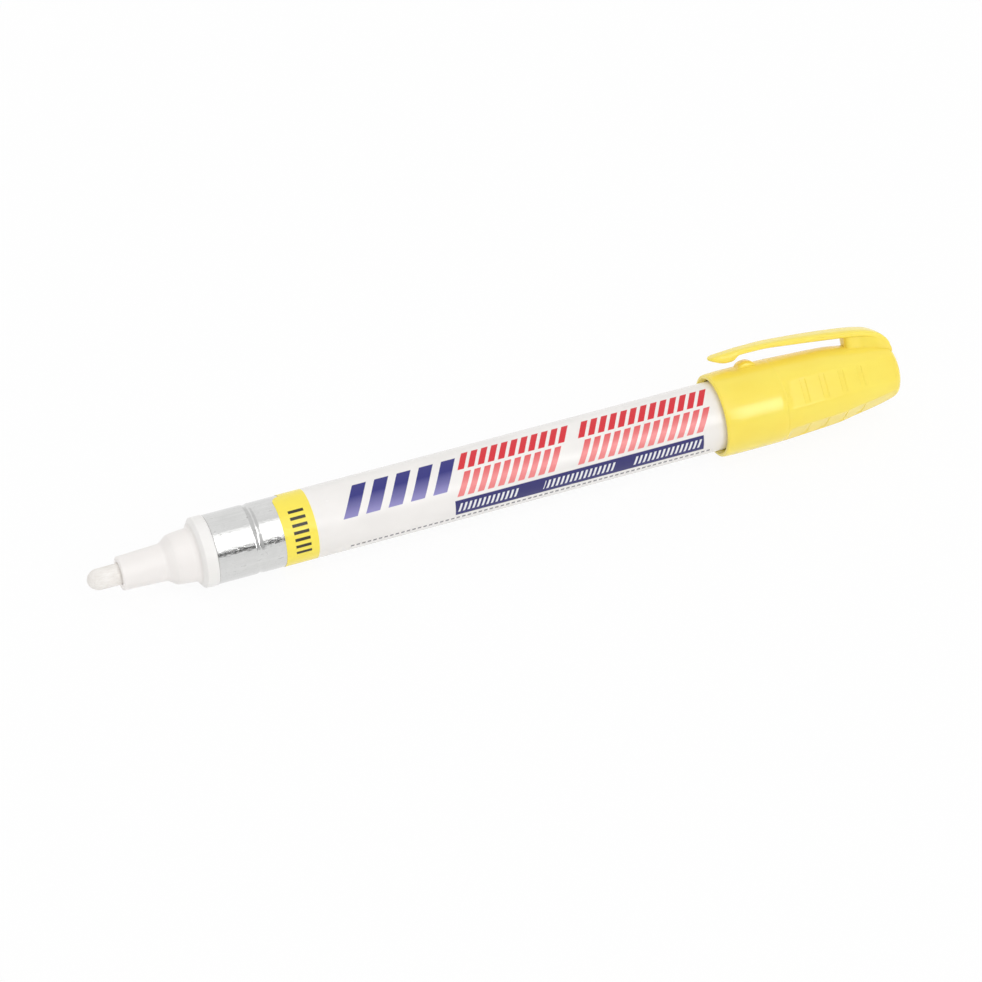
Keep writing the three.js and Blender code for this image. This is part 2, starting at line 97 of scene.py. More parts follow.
# Clip and keeper on the cap; the clip leans away from the camera
CLIP_LEAN = -28.0
CLIP_TIP = 1.4
KEEPER_START = 6.8
KEEPER_LENGTH = 3.9

# Rear of the cap: a ring groove, then notched flats a fifth of a turn apart, none under the clip
GRIP_STEP = 13.6
FLATS = 5
FLAT_SINK = 0.5
NOTCH_PLACES = (17.9, 22.1, 26.3, 30.5)
NOTCH_DEPTH = 0.14
NOTCH_WIDTH = 0.9
DOME_START = 37.2


# ---------------------------------------------------------------- small tools

def along(place):
    """Frame x in metres of a place in mm from the nib's tip."""
    return (place + NIB_TIP) * MM


def clamp(value):
    return max(0, min(1, value))


def deselect():
    bpy.ops.object.select_all(action="DESELECT")


def pick(obj):
    deselect()
    obj.select_set(True)
    bpy.context.view_layer.objects.active = obj


def settle(obj):
    """Puts the object's place into its mesh."""
    pick(obj)
    bpy.ops.object.transform_apply(location=True, rotation=True, scale=True)


def edit_all():
    """Edit mode, with the whole mesh selected."""
    bpy.ops.object.mode_set(mode="EDIT")
    bpy.ops.mesh.select_all(action="SELECT")


def rounded(outline, closed):
    """Stations (place, radius, rounding) with each corner that has a rounding made a short arc."""
    points = []
    count = len(outline)
    most = 0.48
    for i, station in enumerate(outline):
        here = Vector(station[:2])
        rounding = station[2] if len(station) > 2 else 0
        at_end = not closed and i in (0, count - 1)
        if at_end or not rounding:
            points.append(here)
            continue
        before = Vector(outline[i - 1][:2]) - here
        after = Vector(outline[(i + 1) % count][:2]) - here
        half = before.angle(after) / 2
        reach = min(rounding / math.tan(half), most * before.length, most * after.length)
        before.normalize()
        after.normalize()
        middle = here + (before + after).normalized() * reach / math.cos(half)
        start = here + before * reach - middle
        end = here + after * reach - middle
        first = math.atan2(start.y, start.x)
        sweep = math.remainder(math.atan2(end.y, end.x) - first, 2 * math.pi)
        steps = max(2, math.ceil(abs(sweep) / math.radians(15)))
        for k in range(steps + 1):
            angle = first + sweep * k / steps
            points.append(middle + Vector((math.cos(angle), math.sin(angle))) * start.length)
    return points


def flowing(stations, spacing):
    """Even stations on a smooth curve through the given ones that never overshoots them."""
    xs = [s[0] for s in stations]
    ys = [s[1] for s in stations]
    gaps = [b - a for a, b in zip(xs, xs[1:])]
    slopes = [(b - a) / g for a, b, g in zip(ys, ys[1:], gaps)]
    tangents = [slopes[0]]
    for a, b in zip(slopes, slopes[1:]):
        tangents.append(0 if a * b <= 0 else 2 * a * b / (a + b))
    tangents.append(slopes[-1])
    points = []
    for i, gap in enumerate(gaps):
        steps = max(1, round(gap / spacing))
        for k in range(steps):
            t = k / steps
            points.append((
                xs[i] + gap * t,
                ys[i] * (1 + 2 * t) * (1 - t) ** 2
                + ys[i + 1] * t * t * (3 - 2 * t)
                + gap * tangents[i] * t * (1 - t) ** 2
                + gap * tangents[i + 1] * t * t * (t - 1),
            ))
    return points + [(xs[-1], ys[-1])]


def smooth(obj, angle=32):
    """Smooth shading with sharp edges kept, weighted to the larger faces."""
    pick(obj)
    bpy.ops.object.shade_smooth_by_angle(angle=math.radians(angle), keep_sharp_edges=False)
    weigh = obj.modifiers.new("even_shading", "WEIGHTED_NORMAL")
    weigh.keep_sharp = True
    bpy.ops.object.modifier_apply(modifier=weigh.name)


def turned(name, outline, sides, closed=True):
    """Piece turned about the axis.

    A closed outline is the section of a ring, an open one ends on the axis.
    """
    points = rounded(outline, closed)
    if closed:
        points.append(points[0])
    deselect()
    start = (along(points[0][0]), 0, AXIS[2] + points[0][1] * MM)
    bpy.ops.mesh.primitive_plane_add(size=MM, location=start)
    obj = bpy.context.object
    obj.name = name
    settle(obj)
    edit_all()
    bpy.ops.mesh.merge(type="CENTER")
    for here, there in zip(points, points[1:]):
        step = ((there[0] - here[0]) * MM, 0, (there[1] - here[1]) * MM)
        bpy.ops.mesh.extrude_region_move(TRANSFORM_OT_translate={"value": step})
    bpy.ops.mesh.select_all(action="SELECT")
    bpy.ops.mesh.spin(
        steps=sides, angle=2 * math.pi, center=AXIS, axis=(1, 0, 0), use_auto_merge=True)
    bpy.ops.mesh.select_all(action="SELECT")
    bpy.ops.mesh.remove_doubles(threshold=0.001 * MM)
    bpy.ops.mesh.normals_make_consistent(inside=False)
    bpy.ops.object.mode_set(mode="OBJECT")
    return obj


def swept(name, stations, corner):
    """Bar along the cap, upright over the axis, its corners rounded by that share of its width.

    Each station is (distance from the rim, lowest, highest, half width).
    """
    deselect()
    bpy.ops.mesh.primitive_plane_add(size=1, rotation=(0, math.pi / 2, 0))
    obj = bpy.context.object
    obj.name = name
    settle(obj)

    def section(station):
        """Middle, width and height of the bar at a station, in metres."""
        place, low, high, half = station
        centre = Vector((along(CAP_RIM + place), 0, AXIS[2] + (low + high) / 2 * MM))
        return centre, 2 * half * MM, (high - low) * MM

    edit_all()
    bpy.ops.mesh.bevel(affect="VERTICES", offset=corner, segments=4)
    bpy.ops.mesh.select_all(action="SELECT")
    centre, width, height = section(stations[0])
    bpy.ops.transform.resize(value=(1, width, height), center_override=(0, 0, 0))
    bpy.ops.transform.translate(value=centre)
    for station in stations[1:]:
        there, new_width, new_height = section(station)
        bpy.ops.mesh.extrude_region_move(TRANSFORM_OT_translate={"value": there - centre})
        bpy.ops.transform.resize(
            value=(1, new_width / width, new_height / height), center_override=there)
        centre, width, height = there, new_width, new_height
    bpy.ops.mesh.select_all(action="SELECT")
    bpy.ops.mesh.normals_make_consistent(inside=False)
    bpy.ops.object.mode_set(mode="OBJECT")
    return obj


def turn_about_axis(obj, degrees):
    """Turns a piece about the marker's axis; more degrees bring its top towards the camera."""
    obj.data.transform(
        Matrix.Translation(AXIS)
        @ Matrix.Rotation(math.radians(degrees), 4, "X")
        @ Matrix.Translation(-Vector(AXIS)))


def combine(target, other, operation):
    """Joins another solid to the target, or cuts it away, and removes the other."""
    pick(target)
    step = target.modifiers.new("combine", "BOOLEAN")
    step.operation = operation
    step.solver = "EXACT"
    step.object = other
    bpy.ops.object.modifier_apply(modifier=step.name)
    pick(other)
    bpy.ops.object.delete()


# ---------------------------------------------------------------- materials

def tint(red, green, blue):
    """Colour as it reads on a screen, 0 to 255, made linear."""
    def linear(value):
        value /= 255
        return value / 12.92 if value <= 0.04045 else ((value + 0.055) / 1.055) ** 2.4
    return (linear(red), linear(green), linear(blue), 1)


class Wire:
    """Output of a shader node that is worked with like a number."""

    def __init__(self, finish, socket):
        self.finish = finish
        self.socket = socket

    def maths(self, operation, *values, clamped=False):
        settings = {"operation": operation, "use_clamp": clamped}
        return self.finish.node("ShaderNodeMath", settings, dict(enumerate(values)))

    def __add__(self, other):
        return self.maths("ADD", self, other)

    __radd__ = __add__

    def __mul__(self, other):
        return self.maths("MULTIPLY", self, other)

    __rmul__ = __mul__

    def __sub__(self, other):
        return self.maths("SUBTRACT", self, other)

    def __rsub__(self, other):
        return self.maths("SUBTRACT", other, self)

    def __truediv__(self, other):
        return self.maths("DIVIDE", self, other)

    def __rtruediv__(self, other):
        return self.maths("DIVIDE", other, self)

    def rise(self, low, high):
        """0 below low, 1 above high, a straight ramp between."""
        return self.maths("MULTIPLY", self - low, 1 / (high - low), clamped=True)

    def between(self, low, high, soft):
        """1 between low and high, with edges that are soft by that much."""
        return self.rise(low - soft, low + soft) * (1 - self.rise(high - soft, high + soft))

    def fraction(self):
        return self.maths("FRACT", self)

    def degrees_from(self, zero):
        """Degrees that a direction turns off the zero axis; self is its part across that axis."""
        return self.maths("ARCTAN2", self, zero) * (180 / math.pi)


class Finish:
    """Shader nodes of one material, of the floor or of the world."""

    def __init__(self, tree):
        self.tree = tree

    def node(self, kind, settings=None, values=None, output=0):
        """New node; settings are its own options, values the numbers or links of its sockets."""
        made = self.tree.nodes.new(kind)
        for name, value in (settings or {}).items():
            setattr(made, name, value)
        for name, value in (values or {}).items():
            if isinstance(value, Wire):
                self.tree.links.new(value.socket, made.inputs[name])
            else:
                made.inputs[name].default_value = value
        return Wire(self, made.outputs[output]) if made.outputs else None

    def parts(self, kind, values=None):
        """All outputs of a new node, by their names."""
        made = self.node(kind, {}, values).socket.node
        return {out.name: Wire(self, out) for out in made.outputs}

    def mix(self, share, first, second):
        """Colour between two colours."""
        settings = {"data_type": "RGBA"}
        return self.node("ShaderNodeMix", settings, {0: share, 6: first, 7: second}, output=2)

    def stretched(self, x, y, z):
        """Object coordinates times that many per metre, so 1000 gives grains of about a mm."""
        place = self.node("ShaderNodeTexCoord", output=3)
        return self.node("ShaderNodeMapping", {}, {0: place, 3: (x, y, z)})

    def noise(self, vector, detail, roughness=0.5):
        values = {"Vector": vector, "Scale": 1.0, "Detail": detail, "Roughness": roughness}
        return self.node("ShaderNodeTexNoise", {}, values)

    def spread(self):
        """Place along the marker of a point of the piece, and its y and z from the axis, in mm."""
        place = self.node("ShaderNodeTexCoord", output=3)
        metres = self.parts("ShaderNodeSeparateXYZ", {0: place})
        x, y, z = (metre * (1 / MM) for metre in metres.values())
        return x - NIB_TIP, y, z - AXIS_HEIGHT

    def bump(self, height, depth):
        """Normal of a surface with that height, depth in mm for a height of 1."""
        return self.node("ShaderNodeBump", {}, {"Height": height, "Distance": depth * MM})


def surface(name, **constants):
    """New material: returns its nodes and a way to feed the shader."""
    material = bpy.data.materials.new(name)
    material.use_nodes = True
    finish = Finish(material.node_tree)
    shader = finish.tree.nodes["Principled BSDF"]

    def feed(**inputs):
        for socket, value in inputs.items():
            socket = socket.replace("_", " ")
            if isinstance(value, Wire):
                finish.tree.links.new(value.socket, shader.inputs[socket])
            else:
                shader.inputs[socket].default_value = value

    feed(**constants)
    return material, finish, feed


def moulded_plastic(name, colour, other, roughness, grain=0.004, clarity=0.0):
    """Injection-moulded plastic: slow waves of tone, a fine skin, gloss that changes a little."""
    material, finish, feed = surface(
        name, IOR=1.49, Subsurface_Weight=clarity, Subsurface_Radius=(1, 1, 1),
        Subsurface_Scale=0.8 * MM)
    slow = finish.noise(finish.stretched(60, 140, 140), detail=2)
    fine = finish.noise(finish.stretched(1900, 1900, 1900), detail=3, roughness=0.6)
    waves = finish.noise(finish.stretched(130, 260, 260), detail=1)
    feed(
        Base_Color=finish.mix(slow.rise(0.35, 0.65), colour, other),
        Roughness=roughness - 0.04 + 0.08 * waves,
        Normal=finish.bump(fine + 5 * waves, grain),
    )
    return material


def marker_fibre():
    """Pressed fibre of the nib: fine threads along it and slightly uneven tone."""
    material, finish, feed = surface("nib_fibre", IOR=1.4)
    threads = finish.noise(finish.stretched(700, 5200, 5200), detail=4, roughness=0.65)
    patches = finish.noise(finish.stretched(400, 500, 500), detail=2)
    tone = 0.6 * threads + 0.4 * patches
    feed(
        Base_Color=finish.mix(tone.rise(0.35, 0.65), tint(234, 229, 223), tint(250, 247, 243)),
        Roughness=0.82 + 0.12 * threads,
        Normal=finish.bump(threads, 0.05),
    )
    return material


def drawn_aluminium():
    """Drawn tube: bright metal, draw lines along it, faint blotches, and scuffs, some of them dark."""
    material, finish, feed = surface("drawn_aluminium", Metallic=1.0)
    lines = finish.noise(finish.stretched(25, 2600, 2600), detail=5, roughness=0.65)
    broad = finish.noise(finish.stretched(60, 500, 500), detail=2)
    blotches = finish.noise(finish.stretched(300, 300, 300), detail=4, roughness=0.6)
    scuffs = finish.noise(finish.stretched(1300, 2500, 2500), detail=2, roughness=0.6)
    tone = 0.5 * lines + 0.5 * blotches
    worn = scuffs.rise(0.6, 0.72) * blotches.rise(0.48, 0.62)
    metal = finish.mix(tone.rise(0.3, 0.7), tint(207, 207, 206), tint(220, 220, 219))
    feed(
        Base_Color=finish.mix(worn * 0.5, metal, tint(160, 158, 156)),
        Roughness=0.07 + 0.08 * lines + 0.12 * worn,
        Normal=finish.bump(lines + 2 * broad + 0.5 * blotches + 3.2 * scuffs, 0.009),
    )
    return material


def bright_steel(name, roughness):
    """Polished steel with fine marks."""
    material, finish, feed = surface(name, Metallic=1.0)
    marks = finish.noise(finish.stretched(2500, 2500, 2500), detail=3)
    feed(
        Base_Color=finish.mix(marks.rise(0.3, 0.7), tint(190, 190, 192), tint(214, 214, 216)),
        Roughness=roughness + 0.1 * marks,
        Normal=finish.bump(marks, 0.002),
    )
    return material


def soft_rubber():
    """Dull black rubber with a little dust on it."""
    material, finish, feed = surface("black_rubber", IOR=1.52)
    dust = finish.noise(finish.stretched(1500, 1500, 1500), detail=4, roughness=0.65)
    feed(
        Base_Color=finish.mix(dust.rise(0.4, 0.7), tint(34, 34, 35), tint(58, 58, 59)),
        Roughness=0.6 + 0.25 * dust,
        Normal=finish.bump(dust, 0.02),
    )
    return material


# Print on the label: its angles count from the camera's side
PRINT_SEAM = -69.0
PRINT_YELLOW_END = 44.6
PRINT_EDGE = 0.04
MM_PER_DEGREE = math.pi * LABEL_RADIUS / 180


def printed_film():
    """Glossy film round the barrel: a yellow band, then fields of slanted strokes and a stripe."""
    material, finish, feed = surface("label_film", IOR=1.5)
    place, y, z = finish.spread()
    angle = (0 - y).degrees_from(z) - CAMERA_SIDE
    angle = angle.maths("WRAP", angle, 180.0, -180.0)
    lean = place + angle * (MM_PER_DEGREE * math.tan(math.radians(30)))
    less_lean = place + angle * (MM_PER_DEGREE * math.tan(math.radians(18)))

    def field(value, start, end, top, bottom):
        """Field between two places along the marker and two angles round it."""
        return value.between(start, end, PRINT_EDGE) * angle.between(top, bottom, 0.35)

    def strokes(value, start, pitch, width):
        """Stripes of that width, repeated at that pitch."""
        edge = 0.06
        cell = ((value - start) / pitch).fraction() * pitch
        return cell.between(edge, edge + width, PRINT_EDGE)

    paper = finish.noise(finish.stretched(90, 160, 160), detail=2)
    speckle = finish.noise(finish.stretched(2600, 2600, 2600), detail=2)
    colour = finish.mix(paper.rise(0.35, 0.65), tint(239, 236, 233), tint(244, 241, 238))
    yellow = 1 - place.rise(PRINT_YELLOW_END - PRINT_EDGE, PRINT_YELLOW_END + PRINT_EDGE)
    colour = finish.mix(yellow, colour, tint(253, 233, 84))

    # Dark strokes round the yellow band
    top, bottom = -28, 55
    marks = strokes(angle * MM_PER_DEGREE, top * MM_PER_DEGREE, 1.44, 0.64)
    marks = marks * field(place, 39.9, 43.0, top, bottom)
    colour = finish.mix(marks, colour, tint(44, 42, 30))

    # Two rows of large strokes, red above and paler red below; the lower row turns salmon towards the
    # bottom, a painted sheen of the key light on the ink
    pitch, width = 2.1, 1.36
    top, bottom = -52, -21
    row = field(lean, 73.0, 95.6, top, bottom) + field(lean, 97.9, 124.9, top, bottom)
    colour = finish.mix(row * strokes(lean, 73.0, pitch, width), colour, tint(216, 36, 50))
    top, bottom = -16, 21.5
    row = field(lean, 74.6, 95.2, top, bottom) + field(lean, 99.2, 126.6, top, bottom)
    red_with_painted_sheen = finish.mix(angle.rise(top, 4), tint(226, 84, 88), tint(238, 132, 132))
    colour = finish.mix(row * strokes(lean, 74.6, pitch, width), colour, red_with_painted_sheen)

    # Broad navy strokes in front of them, turning lavender towards the bottom: a painted sheen of the
    # key light on the ink
    top, bottom = -45, 9
    broad = field(lean, 50.6, 72.0, top, bottom) * strokes(lean, 50.6, 4.6, 2.9)
    navy_with_painted_sheen = finish.mix(angle.rise(-24, bottom), tint(44, 44, 126), tint(134, 128, 190))
    colour = finish.mix(broad, colour, navy_with_painted_sheen)

    # Navy strip with three groups of pale ticks, and a fine dashed line below it
    strip = field(place, 72.6, 125.0, 27.5, 57)
    colour = finish.mix(strip, colour, tint(42, 40, 108))
    top, bottom = 34, 50
    ticks = (field(less_lean, 75.0, 87.6, top, bottom) + field(less_lean, 92.8, 108.0, top, bottom)
             + field(less_lean, 111.9, 126.2, top, bottom))
    ticks = ticks * strokes(less_lean, 75.0, 0.97, 0.46)
    colour = finish.mix(ticks, colour, tint(236, 236, 240))
    dashes = field(place, 51.0, 127.0, 63.6, 68.4) * strokes(place, 51.0, 1.15, 0.72)
    colour = finish.mix(dashes * 0.85, colour, tint(96, 96, 106))
    feed(
        Base_Color=colour,
        Roughness=0.2 + 0.1 * paper,
        Normal=finish.bump(speckle + 3 * paper, 0.002),
    )
    return material


finishes = {
    "nib_fibre": marker_fibre(),
    "warm_white_plastic": moulded_plastic(
        "warm_white_plastic", tint(243, 239, 236), tint(247, 243, 240), 0.34),
    "cool_white_plastic": moulded_plastic(
        "cool_white_plastic", tint(241, 239, 236), tint(246, 244, 242), 0.3),
    "inner_plastic": moulded_plastic(
        "inner_plastic", tint(222, 226, 226), tint(232, 235, 235), 0.38, clarity=0.3),
    "black_rubber": soft_rubber(),
    "spring_steel": bright_steel("spring_steel", 0.24),
    "ball_steel": bright_steel("ball_steel", 0.12),
    "drawn_aluminium": drawn_aluminium(),
    "label_film": printed_film(),
    "yellow_plastic": moulded_plastic(
        "yellow_plastic", tint(254, 227, 90), tint(255, 232, 98), 0.2, grain=0.002, clarity=0.25),
}


def finished(obj, slot, body, *nodes):
    """Gives a piece its finish, hangs it from its body, and hides the CAD nodes it stands for."""
    settle(obj)
    obj.data.materials.clear()
    obj.data.materials.append(finishes[slot])
    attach(obj, body)
    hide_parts(*nodes)


# ---------------------------------------------------------------- nib, nose and valve

def make_nib():
    """Fibre rod with a domed tip."""
    tip = 2.4
    dome = []
    for turn in range(0, 91, 6):
        a = math.radians(turn)
        dome.append((tip - tip * math.cos(a), NIB_RADIUS * math.sin(a)))
    nib = turned("marker_nib", [*dome, (NIB_END, NIB_RADIUS, 0.3), (NIB_END, 0)], 64, closed=False)
    smooth(nib)
    finished(nib, "nib_fibre", "nib", "nib")


def make_nose():
    """Slim tube that flares to a foot on the collar, and plugs into the collar behind it."""
    foot = COLLAR_FRONT - GAP
    nose = turned("nose", [
        (SPIGOT_END, NIB_BORE, 0.2),
        (NOSE_FRONT, NIB_BORE, 0.12),
        (NOSE_FRONT, 3.35, 0.3),
        (NOSE_FLARE, 3.7, 1.0),
        (16.85, 4.87, 0.9),
        (NOSE_BASE + 0.35, 5.05, 0.5),
        (COLLAR_FRONT - 0.8, 5.26, 0.7),
        (COLLAR_FRONT - 0.3, 5.48, 0.5),
        (foot, 5.95, 0.02),
        (foot, SPIGOT_RADIUS, 0.1),
        (SPIGOT_END, SPIGOT_RADIUS, 0.4),
    ], 128)
    smooth(nose)
    finished(nose, "warm_white_plastic", "marker_body", "nose_cone")


def make_valve_body():
    """Collar between nose and barrel, and behind it the plug with the groove for its ring."""
    groove = 1.1
    groove_floor = 4.73
    body = turned("valve_collar", [
        (PLUG_END, CHAMBER_RADIUS, 0.15),
        (SEAT_FACE, CHAMBER_RADIUS),
        (SEAT_FACE, STEM_BORE, 0.2),
        (WEB_FRONT, STEM_BORE),
        (WEB_FRONT, SOCKET_RADIUS),
        (COLLAR_FRONT, SOCKET_RADIUS, 0.1),
        (COLLAR_FRONT, 6.05, 0.2),
        (COLLAR_FRONT + 0.68, COLLAR_RADIUS, 0.3),
        (BARREL_FRONT - GAP, COLLAR_RADIUS, 0.12),
        (BARREL_FRONT - GAP, PLUG_RADIUS),
        (ROLL_PLACE - groove, PLUG_RADIUS, 0.05),
        (ROLL_PLACE - groove, groove_floor, 0.1),
        (ROLL_PLACE + groove, groove_floor, 0.1),
        (ROLL_PLACE + groove, PLUG_RADIUS, 0.05),
        (PLUG_END, PLUG_RADIUS, 0.4),
    ], 128)
    smooth(body)
    finished(body, "cool_white_plastic", "marker_body", "valve_body")


def make_rubber_rings():
    """Ring that seals the plug in the barrel, and the washer that the valve closes on."""
    ring = 5.48
    thick = 0.7
    section = []
    for turn in range(0, 360, 15):
        a = math.radians(turn)
        section.append((ROLL_PLACE - thick * math.cos(a), ring + thick * math.sin(a)))
    gasket = turned("sealing_ring", section, 72)
    smooth(gasket)
    finished(gasket, "black_rubber", "marker_body", "barrel_gasket")
    front = SEAT_FACE + GAP
    back = front + 1
    hole = 2.4
    rim = 4.25
    seat = turned("seat_washer", [
        (back, hole, 0.12), (front, hole, 0.12), (front, rim, 0.1), (back, rim, 0.1)], 72)
    smooth(seat)
    finished(seat, "black_rubber", "marker_body", "valve_seat")


def make_stem():
    """Rod behind the nib, with the disc that closes the valve and a guide for the spring."""
    front = NIB_END + GAP
    disc = 3.3
    disc_back = POPPET_FACE + 1.4
    guide = 1.2
    guide_end = CAGE_FLOOR - 3.5
    stem = turned("stem", [
        (front, 0),
        (front, STEM_RADIUS, 0.2),
        (POPPET_FACE, STEM_RADIUS, 0.15),
        (POPPET_FACE, disc, 0.25),
        (disc_back, disc, 0.2),
        (disc_back, guide, 0.15),
        (guide_end, guide, 0.3),
        (guide_end, 0),
    ], 64, closed=False)
    smooth(stem)
    finished(stem, "inner_plastic", "valve_stem", "valve_stem")


def make_spring():
    """Wire ring carried round the axis by a screw of seven turns, its two ends closed."""
    wire = 0.25
    turns = 7
    coil = 1.85
    steps = 28
    front = SPRING_FRONT + wire
    pitch = (SPRING_END - wire - front) / turns
    deselect()
    bpy.ops.mesh.primitive_circle_add(
        vertices=12, radius=wire * MM, fill_type="NOTHING", rotation=(math.pi / 2, 0, 0),
        location=(0, 0, coil * MM))
    spring = bpy.context.object
    spring.name = "valve_coil"
    settle(spring)
    screw = spring.modifiers.new("winding", "SCREW")
    screw.axis = "X"
    screw.angle = 2 * math.pi
    screw.screw_offset = pitch * MM
    screw.iterations = turns
    screw.steps = steps
    screw.render_steps = steps
    bpy.ops.object.modifier_apply(modifier=screw.name)
    bpy.ops.object.mode_set(mode="EDIT")
    bpy.ops.mesh.select_mode(type="EDGE")
    bpy.ops.mesh.select_all(action="DESELECT")
    bpy.ops.mesh.select_non_manifold(extend=False)
    bpy.ops.mesh.edge_face_add()
    bpy.ops.mesh.select_mode(type="VERT")
    bpy.ops.mesh.select_all(action="SELECT")
    bpy.ops.mesh.normals_make_consistent(inside=False)
    bpy.ops.object.mode_set(mode="OBJECT")
    xs = [v.co.x for v in spring.data.vertices]
    middle = (min(xs) + max(xs)) / 2
    spring.location = (along((front + SPRING_END - wire) / 2) - middle, 0, AXIS[2])
    settle(spring)
    smooth(spring, 50)
    finished(spring, "spring_steel", "marker_body", "valve_spring")
    along(SPRING_END)
    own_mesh(spring)


def make_cage():
    """Cup that holds the spring, with four slots for the paint."""
    hole = 1.6
    inside = 3.5
    outside = 4.25
    cage = turned("coil_cage", [
        (CAGE_FLOOR, hole, 0.1),
        (CAGE_FLOOR, inside),
        (POPPET_FACE, inside, 0.1),
        (POPPET_FACE, outside, 0.15),
        (CAGE_END, outside, 0.4),
        (CAGE_END, hole, 0.15),
    ], 96)
    start = PLUG_END + 1
    length = CAGE_FLOOR - start
    slot_width = 2
    slot_reach = 13
    for turn in (0, 90):
        deselect()
        bpy.ops.mesh.primitive_cube_add(
            size=1, location=(along(start + length / 2), 0, AXIS[2]),
            scale=(length * MM, slot_width * MM, slot_reach * MM))
        slot = bpy.context.object
        settle(slot)
        edit_all()
        bpy.ops.mesh.bevel(offset=0.35 * MM, segments=3, affect="EDGES")
        bpy.ops.object.mode_set(mode="OBJECT")
        turn_about_axis(slot, turn)
        combine(cage, slot, "DIFFERENCE")
    smooth(cage)
    finished(cage, "inner_plastic", "marker_body", "spring_cage")


# ---------------------------------------------------------------- barrel, label and ball

def make_barrel():
    """Drawn tube with a closed rear end, rolled in over the plug's ring."""
    def roll(radius, depth, half):
        """Stations of a soft groove of that depth and half width."""
        steps = 8
        return [(ROLL_PLACE + half * k / steps,
                 radius - depth * (0.5 + 0.5 * math.cos(math.pi * k / steps)))
                for k in range(-steps, steps + 1)]

    floor = BARREL_END - 0.6
    barrel = turned("barrel_tube", [
        (floor, 0),
        (floor, BARREL_BORE, 1.05),
        *reversed(roll(BARREL_BORE, 0.2, 0.7)),
        (BARREL_FRONT, BARREL_BORE, 0.08),
        (BARREL_FRONT, BARREL_RADIUS, 0.15),
        *roll(BARREL_RADIUS, 0.16, 0.9),
        (BARREL_END, BARREL_RADIUS, 1.5),
        (BARREL_END, 0),
    ], 144, closed=False)
    smooth(barrel, 40)
    finished(barrel, "drawn_aluminium", "marker_body", "barrel")


def make_label():
    """Film wound once round the barrel.

    Its start has two rounded corners and lies on its end, whose front edge slips back.
    """
    film = 0.042
    lap = 12
    corner = 2
    strips = 186
    most_slip = 1.7
    start = CAMERA_SIDE + PRINT_SEAM
    sweep = 360 + lap
    length = LABEL_END - LABEL_FRONT
    width = sweep * MM_PER_DEGREE
    deselect()
    bpy.ops.mesh.primitive_plane_add(size=1)
    label = bpy.context.object
    label.name = "barrel_label"
    label.scale = (length, width, 1)
    label.location = (LABEL_FRONT + length / 2, width / 2, 0)
    settle(label)
    for vertex in label.data.vertices:
        vertex.select = vertex.co.y < width / 2
    bpy.ops.object.mode_set(mode="EDIT")
    bpy.ops.mesh.select_mode(type="VERT")
    bpy.ops.mesh.bevel(affect="VERTICES", offset=corner, segments=8)
    for k in range(1, strips):
        bpy.ops.mesh.select_all(action="SELECT")
        bpy.ops.mesh.bisect(plane_co=(0, width * k / strips, 0), plane_no=(0, 1, 0))
    bpy.ops.object.mode_set(mode="OBJECT")
    for vertex in label.data.vertices:
        place, arc, _ = vertex.co
        turn = arc / MM_PER_DEGREE
        lift = film * 1.15 * (1 - clamp((turn - lap - 2) / 10))
        radius = LABEL_BORE + lift
        angle = math.radians(start + turn)
        slip = clamp((turn - 180) / 150)
        skew = most_slip * slip * slip * (3 - 2 * slip) * (1 - (place - LABEL_FRONT) / length)
        vertex.co = (along(place + skew), -radius * math.sin(angle) * MM,
                     AXIS[2] + radius * math.cos(angle) * MM)
    pick(label)
    edit_all()
    bpy.ops.mesh.remove_doubles(threshold=0.0001 * MM)
    bpy.ops.object.mode_set(mode="OBJECT")
    outward = label.data.polygons[len(label.data.polygons) // 2]
    away = outward.center - Vector((outward.center.x, 0, AXIS[2]))
    if outward.normal.dot(away) < 0:
        label.data.flip_normals()
    thick = label.modifiers.new("film", "SOLIDIFY")
    thick.thickness = film * MM
    thick.offset = 1
    bpy.ops.object.modifier_apply(modifier=thick.name)
    smooth(label, 40)
    finished(label, "label_film", "marker_body", "label")


def make_ball():
    """Ball on the bottom of the tank, a tenth of a millimetre clear of it."""
    middle = (along(BALL_PLACE), 0, AXIS[2] - (BARREL_BORE - 0.1 - BALL_RADIUS) * MM)
    deselect()
    bpy.ops.mesh.primitive_ico_sphere_add(
        subdivisions=4, radius=BALL_RADIUS * MM, location=middle)
    ball = bpy.context.object
    ball.name = "stirring_ball"
    settle(ball)
    edit_all()
    bpy.ops.mesh.subdivide(number_cuts=1, smoothness=0)
    bpy.ops.transform.tosphere(value=1, center_override=middle)
    bpy.ops.object.mode_set(mode="OBJECT")
    smooth(ball, 60)
    finished(ball, "ball_steel", "mixing_ball", "mixing_ball")


# ---------------------------------------------------------------- cap

# Outside of the cap as (distance from the rim, radius), behind its rounded lip
CAP_OUTSIDE = [(2.0, 8.47), (3.2, 8.5), (9.0, 8.49), (GRIP_STEP - 0.55, 8.43),
               (GRIP_STEP - 0.35, 8.35), (GRIP_STEP - 0.2, 8.35), (GRIP_STEP, 8.42),
               (GRIP_STEP + 0.15, 8.41), (17.0, 8.25), (26.0, 7.75), (30.0, 7.15), (35.0, 6.45),
               (DOME_START, 6.02)]

